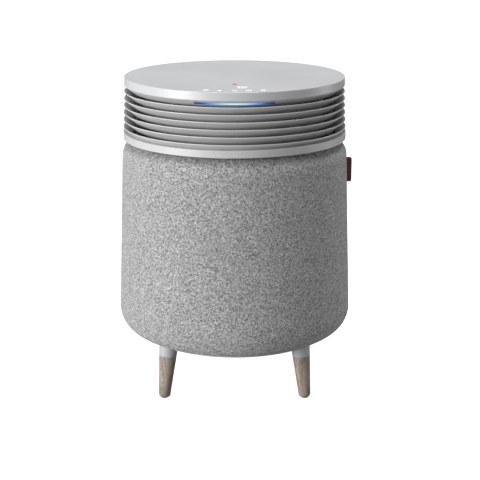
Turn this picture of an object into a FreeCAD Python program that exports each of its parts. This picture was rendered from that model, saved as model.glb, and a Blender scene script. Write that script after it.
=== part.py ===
import FreeCAD, Part
import os
from math import atan, cos, pi, radians, sin, sqrt, tan

# A table-high air purifier: a round table-top cap over a ring of louvres, a fabric-wrapped
# barrel that holds the filter and the blower, and four splayed wooden legs.
# Millimetres, +Z up, origin on the floor under the centre. The front faces -Y.
# A section is a list of (radius, height) corners; a third number rounds that corner.

# Overall
TOTAL_HEIGHT = 500.0
CAP_RADIUS = 174.7
CAP_WALL_BOTTOM = 486.9
CAP_SKIN = 3.0

# Louvres: thin rings that lean outward and upward
LOUVRE_SLOPE = radians(37.0)
LOUVRE_COUNT = 5
LOUVRE_PITCH = 11.2
FIRST_NOSE_TOP = 478.4
FIRST_NOSE_RADIUS = 175.0
NOSE_GROWTH = 0.42
NOSE_HEIGHT = 2.2
NOSE_ROUND = 0.8
LOUVRE_DEPTH = 17.6

# Upper housing deck and the ring under the louvres
DECK_BOTTOM = 476.2
DECK_TOP = 478.7
DECK_RADIUS = 160.5
BAND_RADIUS = 177.4
BAND_BOTTOM = 401.8
BAND_TOP = 413.0
BAND_FLOOR = 3.0

# Barrel outline, outer face of the fabric
BARREL_TOP = 397.2
BARREL_BOTTOM = 83.0
BARREL_TOP_RADIUS = 178.9
BARREL_BOTTOM_RADIUS = 189.3
SHOULDER_ROUND = 21.8
BOTTOM_ROUND = 41.0
BARREL_MOUTH = 157.5
BARREL_FOOT = 141.0
FABRIC = 2.0
SHELL = 3.0
SEAM_GAP = 0.3

# Base
PAN_BOTTOM = 79.0
PAN_RIM = 149.0
PAN_RIM_HEIGHT = 3.5
PAN_RADIUS = 140.5
PAN_SKIN = 3.0
LID_BOTTOM = 100.0
LID_TOP = 102.5

# Blower
BLOWER_DECK_BOTTOM = 320.0
BLOWER_DECK_TOP = 324.0
BLOWER_DECK_RADIUS = 156.0
BLOWER_WALL_RADIUS = 155.0
BLOWER_WALL = 3.0
INLET_RADIUS = 72.0
IMPELLER_RADIUS = 108.0
IMPELLER_BACK = 380.0
IMPELLER_BACK_SKIN = 2.5
IMPELLER_BLADES = 9
SHAFT_RADIUS = 4.0
SHAFT_BOTTOM = 358.0
SHAFT_TOP = 426.0
RUNNING_FIT = 0.05
MOTOR_RADIUS = 46.0
MOTOR_BOTTOM = 388.0
MOTOR_TOP = 430.0
BEARING_RADIUS = 9.0

# Filter cartridge
FILTER_RADIUS = 112.0
FILTER_BOTTOM = 103.0
MEDIA_BOTTOM = 106.0
MEDIA_TOP = 306.0
FILTER_TOP = 311.0
FILTER_MOUTH = 66.0
PLEATS = 60

# Legs
LEG_FOOT_RADIUS = 158.7
LEG_LEAN = radians(7.33)
LEG_ANGLES = (225.0, 315.0, 45.0, 135.0)
LEG_NAMES = ("front_left", "front_right", "rear_right", "rear_left")
LEG_BOTTOM_RADIUS = 9.13
LEG_TAPER = 0.0706
SOCKET_LINE = 68.2
TENON_RADIUS = 8.0
TENON_TOP = 76.0
PAD_HEIGHT = 1.6
PAD_RADIUS = 5.6

# Pull tab on the door's right edge
TAB_LOW = 326.8
TAB_HIGH = 367.5
TAB_REACH = 189.0
TAB_ROOT = 176.0
TAB_THICKNESS = 4.0
TAB_ROUND = 3.2

# Wiring and fasteners
HARNESS_ANGLE = -108.0
HARNESS_RADIUS = 2.0
HARNESS_BEND = 4.0
HARNESS_OUTER = 161.0
HARNESS_INNER = 149.5
HARNESS_BASE_HEIGHT = 93.0
HARNESS_CROSSING = 386.0
BOARD_BOTTOM = 484.0
BOARD_TOP = 485.6
BOARD_HALF_WIDTH = 58.0
BOARD_RADIUS = 157.0
BOARD_INNER = 72.0
COLUMN_ANGLES = (-62.0, -118.0, -10.0, -170.0)
COLUMN_RADIUS = 128.0
BOSS_RADIUS = 118.0
QUARTERS = (45.0, 135.0, 225.0, 315.0)
SCREW_RADIUS = 1.5

FAR = 400.0
ORIGIN = FreeCAD.Vector(0, 0, 0)
UP = FreeCAD.Vector(0, 0, 1)


# ---- shared shape helpers ----

def corner_points(before, here, after, radius):
    """Start, middle and end of the arc that rounds one corner of an outline."""
    if radius == 0:
        return here, here, here
    back = (before - here).normalize()
    ahead = (after - here).normalize()
    half_angle = back.getAngle(ahead) / 2
    inward = (back + ahead).normalize()
    reach = radius / tan(half_angle)
    middle = here + inward * (radius / sin(half_angle) - radius)
    return here + back * reach, middle, here + ahead * reach


def outline(corners):
    """Closed wire in the XZ plane through (x, z) corners, rounded where a corner asks for it."""
    points = [FreeCAD.Vector(corner[0], 0, corner[1]) for corner in corners]
    rounds = [corner[2] if len(corner) > 2 else 0 for corner in corners]
    count = len(points)
    turns = []
    for i in range(count):
        turns.append(corner_points(points[i - 1], points[i], points[(i + 1) % count], rounds[i]))
    edges = []
    for i in range(count):
        start, middle, end = turns[i]
        if rounds[i] > 0:
            edges.append(Part.Arc(start, middle, end).toShape())
        following = turns[(i + 1) % count][0]
        if (following - end).Length > 1e-6:
            edges.append(Part.LineSegment(end, following).toShape())
    return Part.Wire(edges)


def ring(corners, start=0.0, sweep=360.0):
    """Solid of revolution about Z from a (radius, height) section."""
    solid = Part.Face(outline(corners)).revolve(ORIGIN, UP, sweep)
    if start:
        solid.rotate(ORIGIN, UP, start)
    return solid


def block(low, high):
    """Box between two opposite corners."""
    size = [high[i] - low[i] for i in range(3)]
    return Part.makeBox(size[0], size[1], size[2], FreeCAD.Vector(*low))


def rod(radius, bottom, top, x=0.0, y=0.0):
    """Upright cylinder."""
    return Part.makeCylinder(radius, top - bottom, FreeCAD.Vector(x, y, bottom))


def turned(shape, angle):
    """Copy of a shape turned about Z."""
    copy = shape.copy()
    copy.rotate(ORIGIN, UP, angle)
    return copy


def around(shape, angles):
    """One turned copy of a shape for each angle."""
    return [turned(shape, angle) for angle in angles]


def evenly(count, first=0.0):
    """Evenly spaced angles round the axis."""
    return [first + i * 360.0 / count for i in range(count)]


def group(solids):
    """Separate solids of one kind as a single node."""
    return Part.makeCompound(solids)


def joined(shapes):
    """Shapes fused into one clean solid."""
    return shapes[0].multiFuse(shapes[1:]).removeSplitter()


def less(shape, tools):
    """Shape with every tool cut away."""
    return shape.cut(tools)


def screw(x, y, head_bottom, tip, head_radius=3.2, head_height=2.0):
    """Pan-head screw; the head lies on the side of head_bottom away from the tip."""
    way = 1 if tip > head_bottom else -1
    head_low = head_bottom - head_height if way > 0 else head_bottom
    shank_low = min(head_bottom, tip)
    shank_high = max(head_bottom, tip)
    head = rod(head_radius, head_low, head_low + head_height, x, y)
    return joined([head, rod(SCREW_RADIUS, shank_low, shank_high, x, y)])


def polar(radius, angle):
    """Plan position at a radius and an angle in degrees."""
    return radius * cos(radians(angle)), radius * sin(radians(angle))


# ---- table-top cap, display and light bar ----

def top_cover():
    shell = ring([
        (0, TOTAL_HEIGHT),
        (CAP_RADIUS, TOTAL_HEIGHT, 1.0),
        (CAP_RADIUS, CAP_WALL_BOTTOM, 0.3),
        (CAP_RADIUS - CAP_SKIN, CAP_WALL_BOTTOM),
        (CAP_RADIUS - CAP_SKIN, TOTAL_HEIGHT - CAP_SKIN),
        (0, TOTAL_HEIGHT - CAP_SKIN),
    ])
    bosses = []
    holes = []
    for angle in QUARTERS:
        x, y = polar(BOSS_RADIUS, angle)
        bosses.append(rod(4.0, CAP_WALL_BOTTOM, TOTAL_HEIGHT - CAP_SKIN, x, y))
        holes.append(rod(SCREW_RADIUS, CAP_WALL_BOTTOM, 495.0, x, y))
    return less(joined([shell] + bosses), holes)


def between(radius, low, high):
    """Height at a radius on the straight line between two points of a section."""
    return low[1] + (radius - low[0]) * (high[1] - low[1]) / (high[0] - low[0])


LIGHT_INNER = 165.4
LIGHT_HALF_ANGLE = 21.0
LIGHT_BACK = 163.9
HOUSING_INNER = 159.7
HOUSING_OUTER = 170.6


def light_section():
    """Section of the light bar: it takes the whole thickness of the cone, front and back."""
    cone_low = (DECK_RADIUS, DECK_BOTTOM)
    cone_high = (CAP_RADIUS, CAP_WALL_BOTTOM)
    back_low = (HOUSING_INNER, DECK_TOP)
    back_high = (HOUSING_OUTER, CAP_WALL_BOTTOM)
    return [
        (LIGHT_INNER, between(LIGHT_INNER, cone_low, cone_high)),
        cone_high,
        back_high,
        (LIGHT_BACK, between(LIGHT_BACK, back_low, back_high)),
    ]


def light_bar():
    return ring(light_section(), -90.0 - LIGHT_HALF_ANGLE, 2 * LIGHT_HALF_ANGLE)


def upper_housing():
    dish = ring([
        (0, DECK_BOTTOM),
        (DECK_RADIUS, DECK_BOTTOM),
        (CAP_RADIUS, CAP_WALL_BOTTOM),
        (HOUSING_OUTER, CAP_WALL_BOTTOM),
        (HOUSING_INNER, DECK_TOP),
        (0, DECK_TOP),
    ])
    holes = [rod(HARNESS_RADIUS + 0.4, DECK_BOTTOM, DECK_TOP, *polar(HARNESS_INNER, HARNESS_ANGLE))]
    for angle in QUARTERS:
        holes.append(rod(SCREW_RADIUS, DECK_BOTTOM, DECK_TOP, *polar(BOSS_RADIUS, angle)))
    return less(dish, holes + [light_bar()])


def light_board():
    strip = ring([(157.8, DECK_TOP), (159.2, DECK_TOP), (159.2, 485.4), (157.8, 485.4)], -109.0, 38.0)
    lamps = []
    for angle in range(-105, -74, 5):
        lamps.append(turned(block((159.0, -1.5, 481.6), (161.0, 1.5, 484.0)), angle))
    return joined([strip] + lamps)


def board_plate(bottom, top, half_width, inner):
    """Plate that follows the cap's front rim."""
    return rod(BOARD_RADIUS, bottom, top).common(block((-half_width, -FAR, bottom), (half_width, -inner, top)))


def board_corners(height_low, height_high, radius):
    """Four short round pillars near the corners of the display board."""
    pillars = []
    for x in (-50.0, 50.0):
        for y in (-82.0, -138.0):
            pillars.append(rod(radius, height_low, height_high, x, y))
    return pillars


def control_board():
    plate = board_plate(BOARD_BOTTOM, BOARD_TOP, BOARD_HALF_WIDTH, BOARD_INNER)
    chips = [
        block((-32, -100, BOARD_TOP), (-18, -86, BOARD_TOP + 1.6)),
        block((20, -98, BOARD_TOP), (34, -90, BOARD_TOP + 1.4)),
        block((-6, -88, BOARD_TOP), (6, -80, BOARD_TOP + 1.8)),
    ]
    return joined([plate] + chips + board_corners(DECK_TOP, BOARD_BOTTOM, 3.0))


ICON_ARC_RADIUS = 151.0
ICON_OFFSETS = (-42.5, -21.3, 0.0, 21.3, 42.5)


def display_guide():
    """Light-tight block: one shaft for each icon, one for the digits and one for the status dot."""
    body = board_plate(489.0, TOTAL_HEIGHT - CAP_SKIN, BOARD_HALF_WIDTH - 2, BOARD_INNER + 2)
    shafts = []
    for x in ICON_OFFSETS:
        y = -sqrt(ICON_ARC_RADIUS ** 2 - x ** 2)
        shafts.append(rod(3.0, 489.0, TOTAL_HEIGHT - CAP_SKIN, x, y))
    shafts.append(block((2, -122, 489.0), (22, -108, TOTAL_HEIGHT - CAP_SKIN)))
    shafts.append(rod(4.0, 489.0, TOTAL_HEIGHT - CAP_SKIN, 0, -92))
    return joined([less(body, shafts)] + board_corners(BOARD_TOP, 489.0, 2.5))


# ---- louvres ----

def nose(index):
    """Radius and top height of a louvre's outer edge, counted from 0 at the top."""
    return FIRST_NOSE_RADIUS + index * NOSE_GROWTH, FIRST_NOSE_TOP - index * LOUVRE_PITCH


def louvre_blade(index):
    radius, top = nose(index)
    drop = LOUVRE_DEPTH * tan(LOUVRE_SLOPE)
    return ring([
        (radius, top, NOSE_ROUND),
        (radius, top - NOSE_HEIGHT, NOSE_ROUND),
        (radius - LOUVRE_DEPTH, top - NOSE_HEIGHT - drop),
        (radius - LOUVRE_DEPTH, top - drop),
    ])


def louvre_posts():
    """Ten upright combs behind the louvres; each louvre sits in a notch."""
    blades = [louvre_blade(i) for i in range(LOUVRE_COUNT)]
    comb = block((152.5, -1.5, BAND_BOTTOM + BAND_FLOOR), (161.0, 1.5, DECK_BOTTOM))
    comb = comb.common(rod(DECK_RADIUS + 0.4, BAND_BOTTOM, DECK_BOTTOM))
    return group([less(post, blades) for post in around(comb, evenly(10, 18.0))])


def louvre_base():
    """Bottom ring: a louvre-like nose, a groove under it and a plain hollow band."""
    radius, top = nose(LOUVRE_COUNT)
    floor = BAND_BOTTOM + BAND_FLOOR
    inner = 161.0
    slope_end = top - (radius - inner) * tan(LOUVRE_SLOPE)
    under_end = slope_end - 2.8
    wall_inner = 165.0
    wall_outer = wall_inner + BAND_FLOOR
    band_inner = BAND_RADIUS - BAND_FLOOR
    pocket_top = BAND_TOP - BAND_FLOOR
    groove_depth = 8.0
    groove_height = top - NOSE_HEIGHT - groove_depth * tan(LOUVRE_SLOPE)
    return ring([
        (152.2, BAND_BOTTOM),
        (wall_outer, BAND_BOTTOM),
        (wall_outer, pocket_top),
        (band_inner, pocket_top),
        (band_inner, BAND_BOTTOM),
        (BAND_RADIUS, BAND_BOTTOM, 0.6),
        (BAND_RADIUS, BAND_TOP, 0.4),
        (radius - groove_depth, groove_height),
        (radius, top - NOSE_HEIGHT, NOSE_ROUND),
        (radius, top, NOSE_ROUND),
        (inner, slope_end),
        (inner, under_end),
        (wall_inner, under_end + (wall_inner - inner) * tan(LOUVRE_SLOPE)),
        (wall_inner, floor),
        (152.2, floor),
    ])


# ---- blower ----

def radial_rod(radius, start, end, height, angle):
    """Level cylinder along a radius."""
    rod_shape = Part.makeCylinder(radius, end - start, FreeCAD.Vector(start, 0, height), FreeCAD.Vector(1, 0, 0))
    return turned(rod_shape, angle)


def blower_housing():
    inner = BLOWER_WALL_RADIUS - BLOWER_WALL
    wall = ring([
        (146.0, BLOWER_DECK_TOP),
        (BLOWER_WALL_RADIUS, BLOWER_DECK_TOP),
        (BLOWER_WALL_RADIUS, 396.8),
        (157.0, 396.8),
        (157.0, BAND_BOTTOM),
        (inner, BAND_BOTTOM),
        (inner, BLOWER_DECK_TOP + 3.0),
        (146.0, BLOWER_DECK_TOP + 3.0),
    ])
    passage = radial_rod(HARNESS_RADIUS + 0.5, inner - 2, BLOWER_WALL_RADIUS + 2, HARNESS_CROSSING, HARNESS_ANGLE)
    return less(wall, [passage])


def column_screws():
    """Plan positions of the screws that hold the blower deck on its columns."""
    return [polar(COLUMN_RADIUS, angle) for angle in COLUMN_ANGLES]


def blower_deck():
    plate = ring([
        (INLET_RADIUS, BLOWER_DECK_BOTTOM),
        (BLOWER_DECK_RADIUS, BLOWER_DECK_BOTTOM, 1.0),
        (BLOWER_DECK_RADIUS, BLOWER_DECK_TOP),
        (INLET_RADIUS, BLOWER_DECK_TOP),
    ])
    holes = [rod(SCREW_RADIUS, BLOWER_DECK_BOTTOM, BLOWER_DECK_TOP, x, y) for x, y in column_screws()]
    return less(plate, holes)


def inlet_ring():
    return ring([
        (INLET_RADIUS, BLOWER_DECK_TOP),
        (92.0, BLOWER_DECK_TOP),
        (92.0, 326.0),
        (73.5, 326.0, 2.0),
        (67.8, 331.5, 2.0),
        (67.8, 338.0),
        (65.8, 338.0),
        (65.8, 330.5, 4.0),
    ])


def fan_guard():
    rings = []
    for radius in (17.0, 35.0, 53.0, 71.0):
        rings.append(ring([
            (radius - 1, BLOWER_DECK_BOTTOM),
            (radius + 1, BLOWER_DECK_BOTTOM),
            (radius + 1, BLOWER_DECK_BOTTOM + 2.5),
            (radius - 1, BLOWER_DECK_BOTTOM + 2.5),
        ]))
    spoke = block((0, -1.0, BLOWER_DECK_BOTTOM), (70.5, 1.0, BLOWER_DECK_BOTTOM + 2.5))
    return joined(rings + around(spoke, evenly(6)))


def fan_blade():
    """One backward-curved blade between the shroud and the back plate."""
    low = 334.0
    high = IMPELLER_BACK + 0.5
    inner = 60.0
    middle = 84.0
    outer = IMPELLER_RADIUS - 0.5
    edges = []
    faces = []
    for lead in (0.0, 1.8):
        start = FreeCAD.Vector(*polar(inner, lead * 1.6), low)
        through = FreeCAD.Vector(*polar(middle, -14.0 + lead), low)
        end = FreeCAD.Vector(*polar(outer, -36.0 + lead), low)
        edges.append(Part.Arc(start, through, end).toShape())
        faces.append((start, end))
    edges.append(Part.LineSegment(faces[0][0], faces[1][0]).toShape())
    edges.append(Part.LineSegment(faces[0][1], faces[1][1]).toShape())
    wall = Part.Face(Part.Wire(Part.sortEdges(edges)[0])).extrude(FreeCAD.Vector(0, 0, high - low))
    channel = ring([
        (55.0, 340.5),
        (70.2, 340.5),
        (70.2, 333.6),
        (IMPELLER_RADIUS, 345.0),
        (IMPELLER_RADIUS, high),
        (55.0, high),
    ])
    return wall.common(channel)


def fan_impeller():
    shroud = ring([
        (69.8, 332.5),
        (71.8, 332.5),
        (IMPELLER_RADIUS, 344.0),
        (IMPELLER_RADIUS, 346.0),
        (71.8, 334.5),
        (69.8, 334.5),
    ])
    back = ring([
        (SHAFT_RADIUS, 368.0),
        (13.0, 368.0, 1.0),
        (16.0, IMPELLER_BACK, 4.0),
        (IMPELLER_RADIUS, IMPELLER_BACK),
        (IMPELLER_RADIUS, IMPELLER_BACK + IMPELLER_BACK_SKIN),
        (SHAFT_RADIUS, IMPELLER_BACK + IMPELLER_BACK_SKIN),
    ])
    return joined([shroud, back] + around(fan_blade(), evenly(IMPELLER_BLADES)))


def motor_shaft():
    return rod(SHAFT_RADIUS, SHAFT_BOTTOM, SHAFT_TOP)


def hub_nut():
    corners = []
    for angle in evenly(6):
        corners.append(FreeCAD.Vector(*polar(7.5, angle), 361.5))
    hexagon = Part.Face(Part.makePolygon(corners + corners[:1])).extrude(FreeCAD.Vector(0, 0, 6.5))
    return less(hexagon, [motor_shaft()])


def motor_magnet():
    return ring([(SHAFT_RADIUS, 400.0), (23.5, 400.0, 0.5), (23.5, 416.0, 0.5), (SHAFT_RADIUS, 416.0)])


def motor_housing():
    bore = MOTOR_RADIUS - 2.5
    ceiling = MOTOR_TOP - 2.5
    return ring([
        (0, MOTOR_TOP),
        (MOTOR_RADIUS, MOTOR_TOP, 3.0),
        (MOTOR_RADIUS, MOTOR_BOTTOM + 3.0),
        (bore, MOTOR_BOTTOM + 3.0),
        (bore, ceiling),
        (12.0, ceiling),
        (12.0, 418.0),
        (BEARING_RADIUS, 418.0),
        (BEARING_RADIUS, ceiling),
        (0, ceiling),
    ])


def motor_cap():
    return ring([
        (BEARING_RADIUS, MOTOR_BOTTOM),
        (MOTOR_RADIUS, MOTOR_BOTTOM, 1.0),
        (MOTOR_RADIUS, MOTOR_BOTTOM + 3.0),
        (12.0, MOTOR_BOTTOM + 3.0),
        (12.0, 397.5),
        (BEARING_RADIUS, 397.5),
    ])


def motor_stator():
    yoke = ring([(36.0, 401.0), (MOTOR_RADIUS - 2.5, 401.0), (MOTOR_RADIUS - 2.5, 415.0), (36.0, 415.0)])
    tooth = block((25.0, -2.0, 402.0), (37.0, 2.0, 414.0))
    coil = block((28.5, -3.6, 400.5), (35.0, 3.6, 415.5))
    poles = around(joined([tooth, coil]), evenly(9))
    return joined([yoke] + poles)


def motor_bearings():
    rings = []
    for low in (389.5, 419.0):
        rings.append(ring([
            (SHAFT_RADIUS + RUNNING_FIT, low),
            (BEARING_RADIUS, low, 0.4),
            (BEARING_RADIUS, low + 7.0, 0.4),
            (SHAFT_RADIUS + RUNNING_FIT, low + 7.0),
        ]))
    return group(rings)


def motor_mount():
    hoop = ring([(MOTOR_RADIUS, 398.0), (50.0, 398.0), (50.0, 404.0), (MOTOR_RADIUS, 404.0)])
    arm = block((49.0, -4.0, 398.0), (160.0, 4.0, 403.0))
    reach = rod(BLOWER_WALL_RADIUS - BLOWER_WALL, 390.0, 410.0)
    arms = [piece.common(reach) for piece in around(arm, QUARTERS)]
    return joined([hoop] + arms)


def outlet_deflector():
    return ring([
        (0, 432.0),
        (50.0, 432.0, 6.0),
        (146.0, 472.4, 3.0),
        (146.0, DECK_BOTTOM),
        (143.5, DECK_BOTTOM),
        (143.5, 473.9),
        (49.5, 434.5, 6.0),
        (0, 434.5),
    ])


# ---- barrel: shells, fabric, door ----

def barrel_line(inset):
    """Corners of the barrel outline, moved inward by an even amount."""
    return [
        (BARREL_MOUTH, BARREL_TOP - inset),
        (BARREL_TOP_RADIUS - inset, BARREL_TOP - inset, SHOULDER_ROUND - inset),
        (BARREL_BOTTOM_RADIUS - inset, BARREL_BOTTOM + inset, BOTTOM_ROUND - inset),
        (BARREL_FOOT, BARREL_BOTTOM + inset),
    ]


def half_barrel(outer, inner, side):
    """Half of a barrel skin; side is -1 for the front half and 1 for the rear half."""
    skin = ring(barrel_line(outer) + barrel_line(inner)[::-1], 0.0 if side > 0 else 180.0, 180.0)
    seam = block((-FAR, -SEAM_GAP, 0), (FAR, SEAM_GAP, TOTAL_HEIGHT))
    return less(skin, [seam])


WINDOW_ROWS = ((135.0, 195.0), (207.0, 267.0), (279.0, 339.0))
WINDOW_ANGLES = tuple(range(15, 180, 15))
WINDOW_HALF_WIDTH = 17.0


def shell_windows(side):
    """Air inlet windows through a half shell."""
    windows = []
    for low, high in WINDOW_ROWS:
        window = block((160.0, -WINDOW_HALF_WIDTH, low), (200.0, WINDOW_HALF_WIDTH, high))
        for angle in WINDOW_ANGLES:
            windows.append(turned(window, angle * side))
    return windows


def front_shell():
    return less(half_barrel(FABRIC, FABRIC + SHELL, -1), shell_windows(-1))


def front_fabric():
    return half_barrel(0.0, FABRIC, -1)


def pull_tab():
    """Leather tab sewn into the door's edge, standing out to the side."""
    face = Part.Face(outline([
        (TAB_ROOT, TAB_LOW),
        (TAB_REACH, TAB_LOW, TAB_ROUND),
        (TAB_REACH, TAB_HIGH, TAB_ROUND),
        (TAB_ROOT, TAB_HIGH),
    ]))
    tab = face.extrude(FreeCAD.Vector(0, TAB_THICKNESS, 0))
    tab.translate(FreeCAD.Vector(0, SEAM_GAP, 0))
    return tab


def rear_shell():
    shell = half_barrel(FABRIC, FABRIC + SHELL, 1)
    return less(shell, shell_windows(1) + [pull_tab()])


def rear_fabric():
    return less(half_barrel(0.0, FABRIC, 1), [pull_tab()])


def magnets(side):
    """Four block magnets inside a half shell, at its two seams."""
    skin = half_barrel(FABRIC, FABRIC + SHELL, side)
    solids = []
    for height, reach in ((150.0, 183.0), (300.0, 178.0)):
        for edge in (-1, 1):
            low_x = min(edge * reach, edge * (reach - 7))
            low_y = min(side * 0.8, side * 7.8)
            magnet = block((low_x, low_y, height), (low_x + 7, low_y + 7, height + 20))
            solids.append(less(magnet, [skin]))
    return group(solids)


# ---- base, chassis and electrics ----

INLET_HALF_WIDTH = 13.0
INLET_NEAR = 100.0
INLET_FAR = 118.0


def base_pan():
    pan = ring([
        (0, PAN_BOTTOM),
        (PAN_RIM, PAN_BOTTOM, 0.6),
        (PAN_RIM, PAN_BOTTOM + PAN_RIM_HEIGHT, 0.4),
        (PAN_RADIUS, PAN_BOTTOM + PAN_RIM_HEIGHT),
        (PAN_RADIUS, LID_BOTTOM),
        (PAN_RADIUS - PAN_SKIN, LID_BOTTOM),
        (PAN_RADIUS - PAN_SKIN, PAN_BOTTOM + PAN_SKIN),
        (0, PAN_BOTTOM + PAN_SKIN),
    ])
    holes = [
        block(
            (-INLET_HALF_WIDTH, INLET_NEAR, PAN_BOTTOM - 1),
            (INLET_HALF_WIDTH, INLET_FAR, PAN_BOTTOM + PAN_SKIN + 1),
        ),
        radial_rod(HARNESS_RADIUS + 0.5, 130.0, 150.0, HARNESS_BASE_HEIGHT, HARNESS_ANGLE),
    ]
    for x, y in base_screw_places():
        holes.append(rod(SCREW_RADIUS, PAN_BOTTOM - 1, PAN_BOTTOM + PAN_SKIN + 1, x, y))
    return less(pan, holes)


def base_lid():
    """Floor of the filter bay."""
    return ring([(0, LID_BOTTOM), (PAN_RADIUS, LID_BOTTOM), (PAN_RADIUS, LID_TOP, 0.6), (0, LID_TOP)])


def chassis_columns():
    """Four I-section columns between the base lid and the blower deck."""
    half_depth = 7.0
    column = block(
        (COLUMN_RADIUS - half_depth, -8, LID_TOP),
        (COLUMN_RADIUS + half_depth, 8, BLOWER_DECK_BOTTOM),
    )
    grooves = []
    for low, high in ((-8, -4), (4, 8)):
        grooves.append(block((COLUMN_RADIUS - 3, low, LID_TOP + 8), (COLUMN_RADIUS + 3, high, 302.0)))
    pilot = rod(SCREW_RADIUS, 308.0, BLOWER_DECK_BOTTOM, COLUMN_RADIUS, 0)
    return group(around(less(column, grooves + [pilot]), COLUMN_ANGLES))


def frame_line(side_points):
    """Path of the harness: straight runs with a small arc at each bend."""
    points = [FreeCAD.Vector(radius, 0, height) for radius, height in side_points]
    edges = []
    last = points[0]
    for i in range(1, len(points) - 1):
        start, middle, end = corner_points(points[i - 1], points[i], points[i + 1], HARNESS_BEND)
        edges.append(Part.LineSegment(last, start).toShape())
        edges.append(Part.Arc(start, middle, end).toShape())
        last = end
    edges.append(Part.LineSegment(last, points[-1]).toShape())
    return Part.Wire(edges)


def wiring_harness():
    """Cable from the power board up behind the front shell to the control board."""
    path = frame_line([
        (120.0, HARNESS_BASE_HEIGHT),
        (HARNESS_OUTER, HARNESS_BASE_HEIGHT),
        (HARNESS_OUTER, HARNESS_CROSSING),
        (HARNESS_INNER, HARNESS_CROSSING),
        (HARNESS_INNER, BOARD_BOTTOM),
    ])
    circle = Part.makeCircle(
        HARNESS_RADIUS,
        FreeCAD.Vector(120.0, 0, HARNESS_BASE_HEIGHT),
        FreeCAD.Vector(1, 0, 0),
    )
    tube = path.makePipeShell([Part.Wire([circle])], True, False)
    section = pi * HARNESS_RADIUS ** 2
    print("harness volume over section times length:", round(tube.Volume / (section * path.Length), 4))
    return turned(tube, HARNESS_ANGLE)


def power_board():
    plate = block((-65, -118, 87.0), (65, -50, 88.6))
    parts = [
        block((-10, -100, 88.6), (18, -70, 98.0)),
        rod(7.0, 88.6, 98.0, 35, -95),
        rod(7.0, 88.6, 98.0, 52, -95),
        block((26, -78, 88.6), (56, -62, 96.0)),
        turned(block((112.0, -5.0, 88.6), (120.0, 5.0, 97.4)), HARNESS_ANGLE),
    ]
    feet = [rod(3.0, PAN_BOTTOM + PAN_SKIN, 87.0, x, y) for x in (-58, 58) for y in (-110, -58)]
    return joined([plate] + parts + feet)


def power_inlet():
    """Recessed mains inlet that opens downward, with two contact blades."""
    body = block((-INLET_HALF_WIDTH, INLET_NEAR, PAN_BOTTOM), (INLET_HALF_WIDTH, INLET_FAR, 96.0))
    cavity = block((-9.5, 104.5, PAN_BOTTOM), (9.5, 113.5, 92.0))
    blades = [block((x - 0.6, 106.5, 82.0), (x + 0.6, 111.5, 93.0)) for x in (-6.5, 6.5)]
    return joined([less(body, [cavity])] + blades)


def dust_sensor():
    body = block((120.0, -14.0, 298.0), (146.0, 14.0, BLOWER_DECK_BOTTOM))
    slot = block((140.0, -9.0, 304.0), (147.0, 9.0, 309.0))
    return turned(less(body, [slot]), -36.0)


# ---- filter cartridge ----

def hepa_media():
    """Pleated paper ring."""
    outer = []
    inner = []
    for i, angle in enumerate(evenly(2 * PLEATS)):
        crest = i % 2 == 0
        outer.append(FreeCAD.Vector(*polar(106.0 if crest else 81.0, angle), MEDIA_BOTTOM))
        inner.append(FreeCAD.Vector(*polar(103.0 if crest else 78.0, angle), MEDIA_BOTTOM))
    height = FreeCAD.Vector(0, 0, MEDIA_TOP - MEDIA_BOTTOM)
    solid = Part.Face(Part.makePolygon(outer + outer[:1])).extrude(height)
    hollow = Part.Face(Part.makePolygon(inner + inner[:1])).extrude(height)
    return solid.cut(hollow)


def carbon_sleeve():
    return ring([(70.0, MEDIA_BOTTOM), (77.0, MEDIA_BOTTOM), (77.0, MEDIA_TOP), (70.0, MEDIA_TOP)])


def filter_mesh():
    """Pre-filter sleeve with three rows of windows."""
    sleeve = ring([(107.0, MEDIA_BOTTOM), (109.5, MEDIA_BOTTOM), (109.5, MEDIA_TOP), (107.0, MEDIA_TOP)])
    windows = []
    for low, high in ((120.0, 172.0), (180.0, 232.0), (240.0, 292.0)):
        cutter = block((90.0, -11.0, low), (120.0, 11.0, high))
        windows += around(cutter, evenly(24))
    return less(sleeve, windows)


def filter_bottom_cap():
    return ring([
        (0, FILTER_BOTTOM),
        (FILTER_RADIUS, FILTER_BOTTOM, 1.0),
        (FILTER_RADIUS, MEDIA_BOTTOM + 8.0, 0.5),
        (109.8, MEDIA_BOTTOM + 8.0),
        (109.8, MEDIA_BOTTOM),
        (0, MEDIA_BOTTOM),
    ])


def filter_top_cap():
    return ring([
        (FILTER_MOUTH, MEDIA_TOP),
        (109.8, MEDIA_TOP),
        (109.8, MEDIA_TOP - 8.0),
        (FILTER_RADIUS, MEDIA_TOP - 8.0, 0.5),
        (FILTER_RADIUS, FILTER_TOP, 1.0),
        (FILTER_MOUTH, FILTER_TOP),
    ])


def filter_seal():
    return ring([(90.0, FILTER_TOP), (100.0, FILTER_TOP), (99.0, 319.4, 1.5), (91.0, 319.4, 1.5)])


def filter_pull():
    """Moulded grip on the rear of the top cap."""
    loop = block((-24, 100, 300.0), (24, 126, 308.0))
    finger_gap = block((-19, 90, 299.0), (19, 121, 309.0))
    return less(loop, [finger_gap, rod(FILTER_RADIUS, 299.0, 309.0)])


# ---- legs ----

def leg_placed(shape, angle):
    """Put a shape built along Z with its foot at the origin onto the leaning leg axis."""
    placed = shape.copy()
    placed.rotate(ORIGIN, FreeCAD.Vector(0, 1, 0), -LEG_LEAN * 180 / pi)
    placed.translate(FreeCAD.Vector(LEG_FOOT_RADIUS, 0, 0))
    return turned(placed, angle)


def leg_radius(along):
    return LEG_BOTTOM_RADIUS + LEG_TAPER * along


STUD_RADIUS = 3.0
STUD_BOTTOM = 52.0
STUD_TOP = 77.5


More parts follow.
